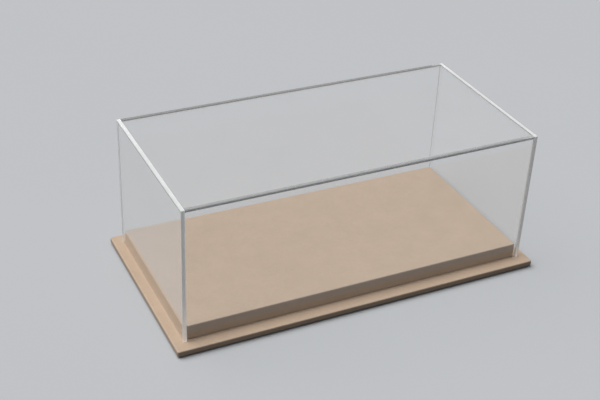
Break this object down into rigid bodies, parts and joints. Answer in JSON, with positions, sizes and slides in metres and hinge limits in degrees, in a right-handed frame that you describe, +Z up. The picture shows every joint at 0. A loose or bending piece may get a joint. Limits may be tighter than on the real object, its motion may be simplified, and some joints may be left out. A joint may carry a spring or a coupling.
{
  "type": "display case",
  "caption": "Low rectangular display case for a scale model: clear lift-off cover of flat sheets over a suede-wrapped plinth on a thin wrapped base plate.",
  "frame": {"origin": "under the middle of the case, on the surface that it stands on", "axes": "+X along the long side, -Y towards the front, +Z up"},
  "size_m": [0.325, 0.17, 0.125],
  "materials": {
    "clear_sheet": "clear, polished, with bright cut edges",
    "suede": "matte suede-like wrap",
    "fibreboard": "raw fibreboard",
    "felt": "dark felt",
    "pad_rubber": "matte",
    "screw_steel": "zinc plated"
  },
  "bodies": {
    "base": {"base_board": "fibreboard", "base_wrap": "suede", "plinth_board": "fibreboard", "plinth_wrap": "suede", "underside_liner": "felt", "plinth_screws": "screw_steel", "foot_pad_front_left": "pad_rubber", "foot_pad_front_right": "pad_rubber", "foot_pad_back_left": "pad_rubber", "foot_pad_back_right": "pad_rubber"},
    "cover": {"cover_top_panel": "clear_sheet", "cover_front_panel": "clear_sheet", "cover_back_panel": "clear_sheet", "cover_left_panel": "clear_sheet", "cover_right_panel": "clear_sheet"}
  },
  "joints": [
    {"name": "cover_lift", "type": "slide", "parent": "base", "child": "cover", "axis": [0, 0, 1], "range_m": [0, 0.13]}
  ]
}
